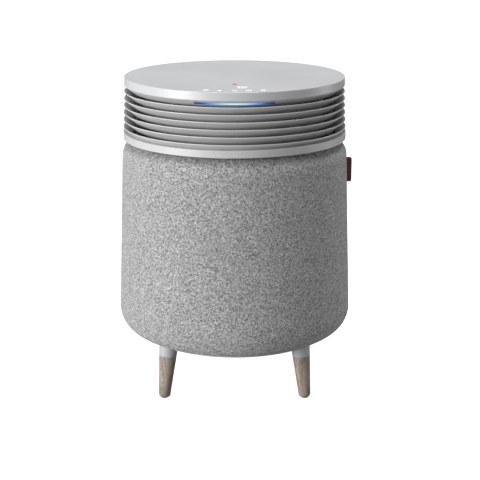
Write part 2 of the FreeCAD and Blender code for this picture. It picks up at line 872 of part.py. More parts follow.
def wooden_leg(angle):
    turned_leg = ring([
        (0, 0),
        (leg_radius(0), 0, 6.0),
        (leg_radius(SOCKET_LINE), SOCKET_LINE, 0.4),
        (TENON_RADIUS, SOCKET_LINE),
        (TENON_RADIUS, TENON_TOP, 0.5),
        (0, TENON_TOP),
    ])
    bored = less(turned_leg, [rod(STUD_RADIUS, STUD_BOTTOM, TENON_TOP)])
    below_pad = block((-FAR, -FAR, -20), (FAR, FAR, PAD_HEIGHT))
    return less(leg_placed(bored, angle), [below_pad])


def web_end_places():
    """Radii of the two screws that hold each socket's web to the pan."""
    return (112.0, 126.0)


def base_screw_places():
    places = []
    for angle in LEG_ANGLES:
        for radius in web_end_places():
            places.append(polar(radius, angle))
    return places


def barrel_solid():
    """The barrel's whole outer shape."""
    corners = barrel_line(0.0)
    return ring([(0, BARREL_TOP)] + corners + [(0, BARREL_BOTTOM)])


def leg_socket(angle):
    """Plastic socket with a web that screws to the pan; it fits up round the barrel's bottom edge."""
    cup = ring([
        (TENON_RADIUS, SOCKET_LINE),
        (leg_radius(SOCKET_LINE), SOCKET_LINE, 0.4),
        (15.7, 90.0),
        (0, 90.0),
        (0, TENON_TOP),
        (TENON_RADIUS, TENON_TOP),
    ])
    cup = less(cup, [rod(STUD_RADIUS, TENON_TOP - 1, STUD_TOP)])
    web = turned(block((104.0, -9.0, 74.0), (140.0, 9.0, PAN_BOTTOM)), angle)
    rear = angle < 180.0
    ceiling = BARREL_BOTTOM - 0.6 if rear else 90.0
    above = [
        rod(PAN_RIM + 0.3, PAN_BOTTOM, 110.0),
        block((-FAR, -FAR, ceiling), (FAR, FAR, 120.0)),
        barrel_solid(),
    ]
    holes = []
    for radius in web_end_places():
        holes.append(rod(SCREW_RADIUS, 73.0, PAN_BOTTOM + 1, *polar(radius, angle)))
    tenon = leg_placed(rod(TENON_RADIUS, SOCKET_LINE - 2, TENON_TOP), angle)
    return less(joined([leg_placed(cup, angle), web]), above + holes + [tenon])


def foot_pads():
    lean = PAD_HEIGHT * tan(LEG_LEAN)
    pad = rod(PAD_RADIUS, 0, PAD_HEIGHT, LEG_FOOT_RADIUS - lean, 0)
    return group(around(pad, LEG_ANGLES))


def leg_studs():
    return group([leg_placed(rod(STUD_RADIUS, STUD_BOTTOM, STUD_TOP), angle) for angle in LEG_ANGLES])


def base_screws():
    return group([screw(x, y, 74.0, 86.0) for x, y in base_screw_places()])


def housing_screws():
    """Four screws up into the cap's bosses and four down into the columns."""
    solids = []
    for angle in QUARTERS:
        x, y = polar(BOSS_RADIUS, angle)
        solids.append(screw(x, y, DECK_BOTTOM, 492.0))
    for x, y in column_screws():
        solids.append(screw(x, y, BLOWER_DECK_TOP, 309.8))
    return group(solids)


# ---- every node, one STEP each ----

def all_nodes():
    nodes = {
        "top_cover": top_cover(),
        "display_guide": display_guide(),
        "control_board": control_board(),
        "upper_housing": upper_housing(),
        "light_bar": light_bar(),
        "light_board": light_board(),
        "louvre_posts": louvre_posts(),
        "louvre_base": louvre_base(),
        "blower_housing": blower_housing(),
        "blower_deck": blower_deck(),
        "inlet_ring": inlet_ring(),
        "fan_guard": fan_guard(),
        "fan_impeller": fan_impeller(),
        "motor_shaft": motor_shaft(),
        "hub_nut": hub_nut(),
        "motor_magnet": motor_magnet(),
        "motor_housing": motor_housing(),
        "motor_cap": motor_cap(),
        "motor_stator": motor_stator(),
        "motor_bearings": motor_bearings(),
        "motor_mount": motor_mount(),
        "outlet_deflector": outlet_deflector(),
        "chassis_columns": chassis_columns(),
        "base_pan": base_pan(),
        "base_lid": base_lid(),
        "front_shell": front_shell(),
        "front_fabric": front_fabric(),
        "rear_shell": rear_shell(),
        "rear_fabric": rear_fabric(),
        "pull_tab": pull_tab(),
        "door_magnets": magnets(1),
        "frame_magnets": magnets(-1),
        "hepa_media": hepa_media(),
        "carbon_sleeve": carbon_sleeve(),
        "filter_mesh": filter_mesh(),
        "filter_bottom_cap": filter_bottom_cap(),
        "filter_top_cap": filter_top_cap(),
        "filter_seal": filter_seal(),
        "filter_pull": filter_pull(),
        "dust_sensor": dust_sensor(),
        "power_board": power_board(),
        "power_inlet": power_inlet(),
        "wiring_harness": wiring_harness(),
        "foot_pads": foot_pads(),
        "leg_studs": leg_studs(),
        "base_screws": base_screws(),
        "housing_screws": housing_screws(),
    }
    for i in range(LOUVRE_COUNT):
        nodes["louvre_blade_" + str(i + 1)] = louvre_blade(i)
    for name, angle in zip(LEG_NAMES, LEG_ANGLES):
        nodes["leg_" + name] = wooden_leg(angle)
        nodes["leg_socket_" + name] = leg_socket(angle)
    return nodes


os.makedirs("parts", exist_ok=True)
for node, shape in all_nodes().items():
    shape.exportStep("parts/" + node + ".step")
    print(node, len(shape.Solids), "solids", round(shape.Volume / 1000, 2), "cm3", shape.isValid())
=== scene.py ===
from math import ceil, cos, pi, radians, sin, sqrt, tan, tau

import bmesh
import bpy
from mathutils import Matrix, Vector, noise


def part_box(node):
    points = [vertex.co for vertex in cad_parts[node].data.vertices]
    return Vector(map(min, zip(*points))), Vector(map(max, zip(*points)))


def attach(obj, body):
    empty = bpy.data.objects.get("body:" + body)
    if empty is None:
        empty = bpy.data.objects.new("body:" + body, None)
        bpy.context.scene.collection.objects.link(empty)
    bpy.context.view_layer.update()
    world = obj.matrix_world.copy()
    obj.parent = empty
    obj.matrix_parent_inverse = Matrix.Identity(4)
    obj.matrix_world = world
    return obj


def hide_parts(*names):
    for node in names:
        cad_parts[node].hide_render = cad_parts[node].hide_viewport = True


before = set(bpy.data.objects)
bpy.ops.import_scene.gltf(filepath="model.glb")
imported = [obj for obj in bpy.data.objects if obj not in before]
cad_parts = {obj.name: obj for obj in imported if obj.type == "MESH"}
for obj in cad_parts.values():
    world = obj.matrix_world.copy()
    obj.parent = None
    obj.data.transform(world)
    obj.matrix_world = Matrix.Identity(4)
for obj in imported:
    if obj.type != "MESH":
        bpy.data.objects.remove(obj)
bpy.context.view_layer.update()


# ---- Studio ----
# A pale matt floor that runs back past the picture, a broad softbox low on the left, one overhead,
# a weak one on the right for the rim, and an even sky. The camera looks down a little.

scene = bpy.context.scene
scene.view_settings.view_transform = "Standard"

FLOOR_SIZE = 60.0
FLOOR_GREY = (0.34, 0.34, 0.34, 1)
FLOOR_PALE = (0.86, 0.86, 0.86, 1)
FLOOR_LIFT = 0.95
SKY = 0.12
CAMERA_PLACE = (0.0, -2.241, 0.8299)
CAMERA_DOWN = 15.0
CAMERA_LENS = 106.5
CAMERA_SHIFT = 0.01135


def add_node(tree, kind, inputs=(), **settings):
    """One shader node; an input is a plain value or another node's output socket."""
    node = tree.nodes.new("ShaderNode" + kind)
    for key, value in settings.items():
        setattr(node, key, value)
    for key, value in dict(inputs).items():
        if isinstance(value, bpy.types.NodeSocket):
            tree.links.new(value, node.inputs[key])
        else:
            node.inputs[key].default_value = value
    return node


floor_mesh = bpy.data.meshes.new("studio_floor")
half = FLOOR_SIZE / 2
floor_corners = [(-half, -half, 0), (half, -half, 0), (half, half, 0), (-half, half, 0)]
floor_mesh.from_pydata(floor_corners, [], [(0, 1, 2, 3)])
floor = bpy.data.objects.new("studio_floor", floor_mesh)
scene.collection.objects.link(floor)

floor_paint = bpy.data.materials.new("studio_floor")
floor_paint.use_nodes = True
tree = floor_paint.node_tree
tree.nodes.clear()
grey = add_node(tree, "BsdfDiffuse", {"Color": FLOOR_GREY})
pale = add_node(tree, "BsdfDiffuse", {"Color": FLOOR_PALE})
lift = add_node(tree, "Emission", {"Color": (1, 1, 1, 1), "Strength": FLOOR_LIFT})
lit = add_node(tree, "AddShader", {0: pale.outputs[0], 1: lift.outputs[0]})
ray = add_node(tree, "LightPath")
seen = add_node(tree, "MixShader", {0: ray.outputs["Is Camera Ray"], 1: grey.outputs[0], 2: lit.outputs[0]})
add_node(tree, "OutputMaterial", {"Surface": seen.outputs[0]})
floor_mesh.materials.append(floor_paint)

world = bpy.data.worlds.new("studio_sky")
world.use_nodes = True
scene.world = world
tree = world.node_tree
tree.nodes.clear()
ray = add_node(tree, "LightPath")
fill = add_node(tree, "Background", {"Color": (0.97, 0.985, 1.0, 1), "Strength": SKY})
backdrop = add_node(tree, "Background", {"Color": (1, 1, 1, 1), "Strength": 1.0})
sky = add_node(tree, "MixShader", {
    0: ray.outputs["Is Camera Ray"], 1: fill.outputs[0], 2: backdrop.outputs[0],
})
add_node(tree, "OutputWorld", {"Surface": sky.outputs[0]})


def aim(obj, place, target):
    obj.location = place
    obj.rotation_euler = (Vector(target) - Vector(place)).to_track_quat("-Z", "Y").to_euler()


def softbox(name, place, target, width, height, watts):
    light = bpy.data.lights.new(name, "AREA")
    light.shape = "RECTANGLE"
    light.size, light.size_y = width, height
    light.energy = watts
    lamp = bpy.data.objects.new(name, light)
    scene.collection.objects.link(lamp)
    aim(lamp, place, target)


softbox("key_light", (-2.3, -1.6, 0.55), (0, 0, 0.3), 1.6, 1.1, 87.0)
softbox("overhead_light", (0, 0, 2.6), (0, 0, 0.3), 2.0, 2.0, 62.0)
softbox("rim_light", (2.4, 0.42, 0.6), (0, 0, 0.3), 0.9, 1.1, 15.0)

camera_data = bpy.data.cameras.new("camera")
camera_data.lens = CAMERA_LENS
camera_data.sensor_width = 36.0
camera_data.shift_x = CAMERA_SHIFT
camera = bpy.data.objects.new("camera", camera_data)
camera.location = CAMERA_PLACE
camera.rotation_euler = (radians(90.0 - CAMERA_DOWN), 0, 0)
scene.collection.objects.link(camera)
scene.camera = camera


# ---- Base pan, filter bay floor and leg sockets ----
# Injection-moulded pale grey ABS with a fine spark-eroded texture. The sockets fit up round the
# barrel's bottom edge and are screwed to the pan; the lid closes the pan from above.

def start_group(name, inputs, outputs):
    """Empty shader node group with named sockets; returns it with its two end nodes."""
    group = bpy.data.node_groups.new(name, "ShaderNodeTree")
    for label, kind, value in inputs:
        socket = group.interface.new_socket(label, in_out="INPUT", socket_type="NodeSocket" + kind)
        if value is not None:
            socket.default_value = value
    for label, kind in outputs:
        group.interface.new_socket(label, in_out="OUTPUT", socket_type="NodeSocket" + kind)
    return group, group.nodes.new("NodeGroupInput"), group.nodes.new("NodeGroupOutput")


def in_range(tree, value, low, high, to_low, to_high):
    """A value moved from one range to another and kept inside it."""
    node = add_node(tree, "MapRange", {
        "Value": value, "From Min": low, "From Max": high, "To Min": to_low, "To Max": to_high,
    })
    return node.outputs["Result"]


def maths(tree, operation, first, second=0.0):
    return add_node(tree, "Math", {0: first, 1: second}, operation=operation).outputs[0]


def blend_colours(tree, mask, first, second):
    node = tree.nodes.new("ShaderNodeMix")
    node.data_type = "RGBA"
    for index, value in ((0, mask), (6, first), (7, second)):
        if isinstance(value, bpy.types.NodeSocket):
            tree.links.new(value, node.inputs[index])
        else:
            node.inputs[index].default_value = value
    return node.outputs[2]


def noise_at(tree, where, scale, detail=2.0, roughness=0.5, distortion=0.0):
    node = add_node(tree, "TexNoise", {
        "Vector": where, "Scale": scale, "Detail": detail, "Roughness": roughness, "Distortion": distortion,
    })
    return node.outputs["Fac"]


def moulded_group():
    """Moulded plastic: faint flow shading, uneven gloss and a fine eroded grain."""
    group, given, made = start_group(
        "Moulded plastic",
        [("Colour", "Color", None), ("Shade", "Float", 0.03), ("Gloss", "Float", 0.4),
         ("Grain", "Float", 1400.0)],
        [("Colour", "Color"), ("Roughness", "Float"), ("Height", "Float")],
    )
    place = add_node(group, "TexCoord").outputs["Object"]
    flow = noise_at(group, place, 9.0, 3.0, 0.6, 0.4)
    grain = noise_at(group, place, given.outputs["Grain"], 2.0, 0.6)
    dark = maths(group, "SUBTRACT", 1.0, given.outputs["Shade"])
    pale = maths(group, "ADD", 1.0, given.outputs["Shade"])
    tone = in_range(group, flow, 0.3, 0.7, dark, pale)
    fleck = in_range(group, grain, 0.3, 0.7, 0.985, 1.015)
    share = maths(group, "MULTIPLY", tone, fleck)
    tint = add_node(group, "VectorMath", {0: given.outputs["Colour"], "Scale": share}, operation="SCALE")
    uneven = in_range(group, flow, 0.3, 0.7, -0.04, 0.05)
    worn = in_range(group, grain, 0.3, 0.7, -0.03, 0.03)
    gloss = maths(group, "ADD", given.outputs["Gloss"], maths(group, "ADD", uneven, worn))
    group.links.new(tint.outputs["Vector"], made.inputs["Colour"])
    group.links.new(gloss, made.inputs["Roughness"])
    group.links.new(grain, made.inputs["Height"])
    return group


MOULDED = moulded_group()


def start_material(name):
    material = bpy.data.materials.new(name)
    material.use_nodes = True
    return material, material.node_tree, material.node_tree.nodes["Principled BSDF"]


def place_group(tree, group, values):
    node = tree.nodes.new("ShaderNodeGroup")
    node.node_tree = group
    for key, value in values.items():
        if isinstance(value, bpy.types.NodeSocket):
            tree.links.new(value, node.inputs[key])
        else:
            node.inputs[key].default_value = value
    return node


def wire_up(tree, shader, effect, bump_depth):
    """Feeds a group's colour, roughness and height into a material's shader."""
    links = tree.links
    links.new(effect.outputs["Colour"], shader.inputs["Base Color"])
    if "Roughness" in effect.outputs:
        links.new(effect.outputs["Roughness"], shader.inputs["Roughness"])
    height = effect.outputs["Height"]
    bump = add_node(tree, "Bump", {"Height": height, "Distance": bump_depth, "Strength": 1.0})
    links.new(bump.outputs["Normal"], shader.inputs["Normal"])


def moulded(name, colour, gloss, grain=1400.0, shade=0.03, depth=0.00003, **sockets):
    """A moulded plastic in one colour; extra shader sockets are set by name."""
    material, tree, shader = start_material(name)
    effect = place_group(tree, MOULDED, {
        "Colour": (*colour, 1), "Gloss": gloss, "Grain": grain, "Shade": shade,
    })
    wire_up(tree, shader, effect, depth)
    for key, value in sockets.items():
        shader.inputs[key.replace("_", " ")].default_value = value
    return material


def finish(material, *names):
    """Gives CAD nodes their material."""
    for name in names:
        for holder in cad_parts[name].material_slots:
            holder.material = material


CORNERS = ("front_left", "front_right", "rear_right", "rear_left")
base_plastic = moulded("base_plastic", (0.46, 0.465, 0.485), 0.42)
inner_plastic = moulded("inner_plastic", (0.30, 0.305, 0.31), 0.5)
finish(base_plastic, "base_pan", *("leg_socket_" + corner for corner in CORNERS))
finish(inner_plastic, "base_lid")


# ---- Legs ----
# Turned from oak, bleached and oiled to a grey-brown, with a tenon glued into the plastic
# socket and a steel stud through it. The grain runs down each leg, so each has its own slope.

LEG_LEAN = 7.33
LEG_FOOT_RADIUS = 0.1587
LEG_ANGLES = {"front_left": 225.0, "front_right": 315.0, "rear_right": 45.0, "rear_left": 135.0}


def oak_group():
    """Bleached oak with its grain along Z: soft bands, dark pores and pale ray flecks."""
    group, given, made = start_group(
        "Bleached oak",
        [("Vector", "Vector", None)],
        [("Colour", "Color"), ("Roughness", "Float"), ("Height", "Float")],
    )

    def along(stretch):
        return add_node(group, "VectorMath", {0: given.outputs["Vector"], 1: (1.0, 1.0, stretch)},
                        operation="MULTIPLY").outputs["Vector"]

    bands = noise_at(group, along(0.16), 95.0, 4.0, 0.6, 1.6)
    pores = noise_at(group, along(0.10), 620.0, 3.0, 0.7, 0.3)
    rays = noise_at(group, along(0.42), 330.0, 2.0, 0.6, 1.2)
    band_mask = in_range(group, bands, 0.36, 0.64, 0.0, 1.0)
    base = blend_colours(group, band_mask, (0.235, 0.185, 0.145, 1), (0.42, 0.345, 0.285, 1))
    pore_mask = in_range(group, pores, 0.30, 0.50, 0.62, 0.0)
    dark = blend_colours(group, pore_mask, base, (0.105, 0.078, 0.058, 1))
    ray_mask = in_range(group, rays, 0.56, 0.70, 0.0, 0.6)
    colour = blend_colours(group, ray_mask, dark, (0.60, 0.52, 0.44, 1))
    height = maths(group, "ADD", maths(group, "MULTIPLY", pores, 0.7), maths(group, "MULTIPLY", bands, 0.3))
    group.links.new(colour, made.inputs["Colour"])
    group.links.new(in_range(group, pores, 0.3, 0.7, 0.72, 0.5), made.inputs["Roughness"])
    group.links.new(height, made.inputs["Height"])
    return group


OAK = oak_group()

for corner, angle in LEG_ANGLES.items():
    material, tree, shader = start_material("oak_" + corner)
    place = add_node(tree, "TexCoord").outputs["Object"]
    turn = Matrix.Rotation(radians(LEG_LEAN), 4, "Y") @ Matrix.Rotation(radians(-angle), 4, "Z")
    foot = Vector((LEG_FOOT_RADIUS * cos(radians(angle)), LEG_FOOT_RADIUS * sin(radians(angle)), 0))
    mapping = add_node(tree, "Mapping", {
        "Vector": place,
        "Rotation": turn.to_euler(),
        "Location": turn @ -foot,
    })
    wire_up(tree, shader, place_group(tree, OAK, {"Vector": mapping.outputs["Vector"]}), 0.0004)
    finish(material, "leg_" + corner)

# Soft black rubber pads glued under the feet, and zinc-plated studs and screws.

RUBBER = moulded("pad_rubber", (0.018, 0.018, 0.019), 0.75, grain=2200.0, shade=0.12, depth=0.00008)
finish(RUBBER, "foot_pads")


def metal_group():
    """Plated or machined metal: fine tool marks and patchy gloss."""
    group, given, made = start_group(
        "Worked metal",
        [("Colour", "Color", None), ("Gloss", "Float", 0.3), ("Marks", "Float", 300.0)],
        [("Colour", "Color"), ("Roughness", "Float"), ("Height", "Float")],
    )
    place = add_node(group, "TexCoord").outputs["Object"]
    squeezed = add_node(group, "VectorMath", {0: place, 1: (0.12, 0.12, 2.4)}, operation="MULTIPLY")
    marks = noise_at(group, squeezed.outputs["Vector"], given.outputs["Marks"], 3.0, 0.7)
    patches = noise_at(group, place, 60.0, 3.0, 0.6)
    tone = in_range(group, patches, 0.3, 0.7, 0.86, 1.08)
    tint = add_node(group, "VectorMath", {0: given.outputs["Colour"], "Scale": tone}, operation="SCALE")
    streak = in_range(group, marks, 0.3, 0.7, -0.08, 0.08)
    group.links.new(tint.outputs["Vector"], made.inputs["Colour"])
    group.links.new(maths(group, "ADD", given.outputs["Gloss"], streak), made.inputs["Roughness"])
    group.links.new(marks, made.inputs["Height"])
    return group


METAL = metal_group()


def worked_metal(name, colour, gloss, depth=0.00002):
    material, tree, shader = start_material(name)
    wire_up(tree, shader, place_group(tree, METAL, {"Colour": (*colour, 1), "Gloss": gloss}), depth)
    shader.inputs["Metallic"].default_value = 1.0
    return material


zinc = worked_metal("steel", (0.62, 0.62, 0.60), 0.32)
finish(zinc, "leg_studs", "base_screws", "housing_screws", "motor_shaft", "hub_nut", "motor_bearings")


# ---- Mains inlet, boards, wiring and dust sensor ----
# The black inlet opens downward through the pan; the boards are green glass-epoxy laminate with
# tinned pads; the cable is sheathed in black PVC; the sensor is a black box with an air slot.

black_plastic = moulded("black_plastic", (0.028, 0.028, 0.030), 0.45, grain=900.0, shade=0.08, depth=0.00005)
finish(black_plastic, "power_inlet", "wiring_harness", "dust_sensor")


def circuit_board_material():
    """Green solder mask over copper tracks, with bright tinned pads."""
    material, tree, shader = start_material("circuit_board")
    place = add_node(tree, "TexCoord").outputs["Object"]
    cells = add_node(tree, "TexVoronoi", {"Vector": place, "Scale": 190.0, "Randomness": 0.35},
                     distance="CHEBYCHEV", feature="F1")
    tracks = add_node(tree, "TexBrick", {
        "Vector": place, "Scale": 120.0, "Mortar Size": 0.05, "Mortar Smooth": 0.1,
        "Color1": (0.012, 0.105, 0.050, 1), "Color2": (0.016, 0.135, 0.062, 1),
        "Mortar": (0.035, 0.235, 0.110, 1),
    })
    pad_mask = in_range(tree, cells.outputs["Distance"], 0.10, 0.13, 1.0, 0.0)
    colour = blend_colours(tree, pad_mask, tracks.outputs["Color"], (0.62, 0.61, 0.58, 1))
    tree.links.new(colour, shader.inputs["Base Color"])
    tree.links.new(in_range(tree, pad_mask, 0.0, 1.0, 0.38, 0.24), shader.inputs["Roughness"])
    tree.links.new(maths(tree, "MULTIPLY", pad_mask, 0.9), shader.inputs["Metallic"])
    height = maths(tree, "ADD", tracks.outputs["Fac"], maths(tree, "MULTIPLY", pad_mask, 2.0))
    bump = add_node(tree, "Bump", {"Height": height, "Distance": 0.00005})
    tree.links.new(bump.outputs["Normal"], shader.inputs["Normal"])
    return material


finish(circuit_board_material(), "power_board", "control_board", "light_board")


# ---- Chassis and blower ----
# Grey moulded columns carry the blower deck; the scroll-less housing and inlet ring are the
# same plastic, and the finger guard is black. The fan wheel is dark glass-filled nylon on a steel shaft.

finish(inner_plastic, "chassis_columns", "blower_deck", "blower_housing", "inlet_ring", "motor_mount",
       "outlet_deflector", "louvre_posts")
finish(black_plastic, "fan_guard")
fan_plastic = moulded("fan_plastic", (0.055, 0.060, 0.068), 0.38, grain=700.0, shade=0.10, depth=0.00006)
finish(fan_plastic, "fan_impeller")


# ---- Fan motor ----
# An outer can of drawn, zinc-plated steel with a pressed cap. Inside are enamelled copper coils
# on a laminated core, round a nickel-plated magnet.

finish(worked_metal("motor_can", (0.50, 0.51, 0.52), 0.36), "motor_housing", "motor_cap")
magnet_metal = worked_metal("magnet_metal", (0.42, 0.42, 0.44), 0.22)
finish(magnet_metal, "motor_magnet", "door_magnets", "frame_magnets")


def winding_material():
    """Enamelled copper wire laid in close turns."""
    material, tree, shader = start_material("windings")
    place = add_node(tree, "TexCoord").outputs["Object"]
    turns = add_node(tree, "TexWave", {"Vector": place, "Scale": 260.0, "Distortion": 1.5, "Detail": 2.0},
                     wave_type="BANDS", bands_direction="Z")
    wire = turns.outputs["Fac"]
    colour = blend_colours(tree, wire, (0.19, 0.055, 0.020, 1), (0.72, 0.30, 0.13, 1))
    tree.links.new(colour, shader.inputs["Base Color"])
    tree.links.new(in_range(tree, wire, 0.0, 1.0, 0.45, 0.22), shader.inputs["Roughness"])
    shader.inputs["Metallic"].default_value = 0.8
    bump = add_node(tree, "Bump", {"Height": wire, "Distance": 0.0003})
    tree.links.new(bump.outputs["Normal"], shader.inputs["Normal"])
    return material


finish(winding_material(), "motor_stator")


# ---- Filter cartridge ----
# Pleated glass-fibre paper glued between two white end caps, round a bed of carbon granules
# held in net, inside a moulded sleeve with windows. A foam ring seals it to the blower deck.

def paper_material():
    """Off-white filter paper with matted fibres."""
    material, tree, shader = start_material("filter_paper")
    place = add_node(tree, "TexCoord").outputs["Object"]
    fibres = noise_at(tree, place, 900.0, 5.0, 0.75, 2.0)
    clouds = noise_at(tree, place, 60.0, 3.0, 0.6)
    fibre_mask = in_range(tree, fibres, 0.3, 0.7, 0.0, 1.0)
    matted = blend_colours(tree, fibre_mask, (0.66, 0.65, 0.60, 1), (0.86, 0.855, 0.83, 1))
    colour = blend_colours(tree, in_range(tree, clouds, 0.4, 0.8, 0.0, 0.25), matted, (0.62, 0.60, 0.54, 1))
    tree.links.new(colour, shader.inputs["Base Color"])
    tree.links.new(in_range(tree, fibres, 0.3, 0.7, 0.95, 0.8), shader.inputs["Roughness"])
    bump = add_node(tree, "Bump", {"Height": fibres, "Distance": 0.0002})
    tree.links.new(bump.outputs["Normal"], shader.inputs["Normal"])
    return material


def carbon_material():
    """Packed black carbon granules."""
    material, tree, shader = start_material("carbon")
    place = add_node(tree, "TexCoord").outputs["Object"]
    grains = add_node(tree, "TexVoronoi", {"Vector": place, "Scale": 420.0}, feature="F1")
    colour = blend_colours(tree, in_range(tree, grains.outputs["Distance"], 0.1, 0.7, 0.0, 1.0),
                           (0.055, 0.055, 0.058, 1), (0.006, 0.006, 0.006, 1))
    tree.links.new(colour, shader.inputs["Base Color"])
    tree.links.new(in_range(tree, grains.outputs["Distance"], 0.1, 0.7, 0.4, 0.9), shader.inputs["Roughness"])
    depth = maths(tree, "SUBTRACT", 1.0, grains.outputs["Distance"])
    bump = add_node(tree, "Bump", {"Height": depth, "Distance": 0.0009})
    tree.links.new(bump.outputs["Normal"], shader.inputs["Normal"])
    return material


finish(paper_material(), "hepa_media")
finish(carbon_material(), "carbon_sleeve")
filter_frame = moulded("filter_frame", (0.74, 0.745, 0.74), 0.46)
finish(filter_frame, "filter_bottom_cap", "filter_top_cap", "filter_mesh", "filter_pull")


def add_piece(name, points, faces, material, body, smooth=True):
    """A new mesh object with one material, riding on a body."""
    mesh = bpy.data.meshes.new(name)
    mesh.from_pydata(points, [], faces)
    tidy = bmesh.new()
    tidy.from_mesh(mesh)
    bmesh.ops.remove_doubles(tidy, verts=tidy.verts, dist=1e-6)
    bmesh.ops.recalc_face_normals(tidy, faces=tidy.faces)
    tidy.to_mesh(mesh)
    tidy.free()
    mesh.materials.append(material)
    for face in mesh.polygons:
        face.use_smooth = smooth
    obj = bpy.data.objects.new(name, mesh)
    scene.collection.objects.link(obj)
    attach(obj, body)
    return obj


def foam_material():
    """Charcoal closed-cell foam, cut and glued."""
    material, tree, shader = start_material("seal_foam")
    place = add_node(tree, "TexCoord").outputs["Object"]
    cells = add_node(tree, "TexVoronoi", {"Vector": place, "Scale": 900.0}, feature="SMOOTH_F1")
    colour = blend_colours(
        tree, cells.outputs["Distance"], (0.028, 0.028, 0.030, 1), (0.090, 0.090, 0.094, 1))
    tree.links.new(colour, shader.inputs["Base Color"])
    tree.links.new(in_range(tree, cells.outputs["Distance"], 0.1, 0.6, 0.95, 0.8), shader.inputs["Roughness"])
    bump = add_node(tree, "Bump", {"Height": cells.outputs["Distance"], "Distance": 0.0004})
    tree.links.new(bump.outputs["Normal"], shader.inputs["Normal"])
    return material


def foam_ring():
    """Soft ring with bulging sides, a dimpled top and a scarfed joint where its ends meet."""
    low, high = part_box("filter_seal")
    outer = high.x
    inner = outer - 0.010
    floor_z, crown_z = low.z, high.z
    section = []
    for i in range(20):
        turn = tau * i / 20
        across = abs(cos(turn)) ** 0.6 * (1 if cos(turn) > 0 else -1)
        up = abs(sin(turn)) ** 0.6 * (1 if sin(turn) > 0 else -1)
        section.append((across, up))
    points, faces = [], []
    steps = 160
    for s in range(steps):
        angle = tau * s / steps
        near_joint = min(s, steps - s)
        pinch = 1.0 - 0.10 * max(0.0, 1.0 - near_joint / 1.5)
        for across, up in section:
            wobble = 0.00012 * noise.noise(Vector((cos(angle) * 30, sin(angle) * 30, up * 3)))
            radius = (outer + inner) / 2 + across * ((outer - inner) / 2 - 0.0002) * pinch + wobble
            height = (floor_z + crown_z) / 2 + up * (crown_z - floor_z) / 2 * (pinch if up > 0 else 1.0)
            points.append((radius * cos(angle), radius * sin(angle), height))
    count = len(section)
    for s in range(steps):
        for i in range(count):
            a, b = s * count + i, s * count + (i + 1) % count
            c, d = (s + 1) % steps * count + (i + 1) % count, (s + 1) % steps * count + i
            faces.append((a, b, c, d))
    ring = add_piece("foam_seal", points, faces, foam_material(), "filter")
    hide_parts("filter_seal")


foam_ring()

# Fine nylon net welded behind the sleeve's windows, which catches hair and lint.

NET_PITCH = 0.0050
NET_STRAND = 0.00045
NET_RADIUS = 0.10655


def pre_filter_net():
    low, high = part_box("filter_mesh")
    columns = int(tau * NET_RADIUS / NET_PITCH)
    rows = int((high.z - low.z - 0.02) / NET_PITCH)
    points, faces = [], []
    for row in range(rows + 1):
        height = low.z + 0.010 + row * NET_PITCH
        for column in range(columns):
            angle = tau * column / columns
            points.append((NET_RADIUS * cos(angle), NET_RADIUS * sin(angle), height))
    for row in range(rows):
        for column in range(columns):
            right = (column + 1) % columns
            faces.append((row * columns + column, row * columns + right,
                          (row + 1) * columns + right, (row + 1) * columns + column))
    net_nylon = moulded("net_nylon", (0.50, 0.51, 0.52), 0.5, grain=1800.0, shade=0.06, depth=0.00004)
    net = add_piece("pre_filter_net", points, faces, net_nylon, "filter")
    strands = net.modifiers.new("strands", "WIREFRAME")
    strands.thickness = NET_STRAND
    strands.use_even_offset = False


pre_filter_net()


# ---- Barrel shells ----
# Two moulded half shells with rows of air windows. The rear one is the door: magnets along
# the seam hold it to the front one, which is clipped to the chassis.

finish(inner_plastic, "front_shell", "rear_shell")


# ---- Barrel cloth ----
# Thick heathered polyester cloth, warp and weft of mixed pale and dark yarn. Each half is cut
# flat, stretched over its shell, turned in at the seam, stitched and heat-bonded.

CLOTH_THICK = 0.0019
CLOTH_SEAM = 0.0003
MOUTH_RADIUS = 0.1575
SHOULDER_RADIUS = 0.1789
SHOULDER_ROUND = 0.0218
SKIRT_RADIUS = 0.1893
SKIRT_ROUND = 0.041
FOOT_RADIUS = 0.141
HEM_STITCH_INSET = 0.0062
YARN = 0.0021

cloth_low, cloth_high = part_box("rear_fabric")
barrel_top, barrel_bottom = cloth_high.z, cloth_low.z


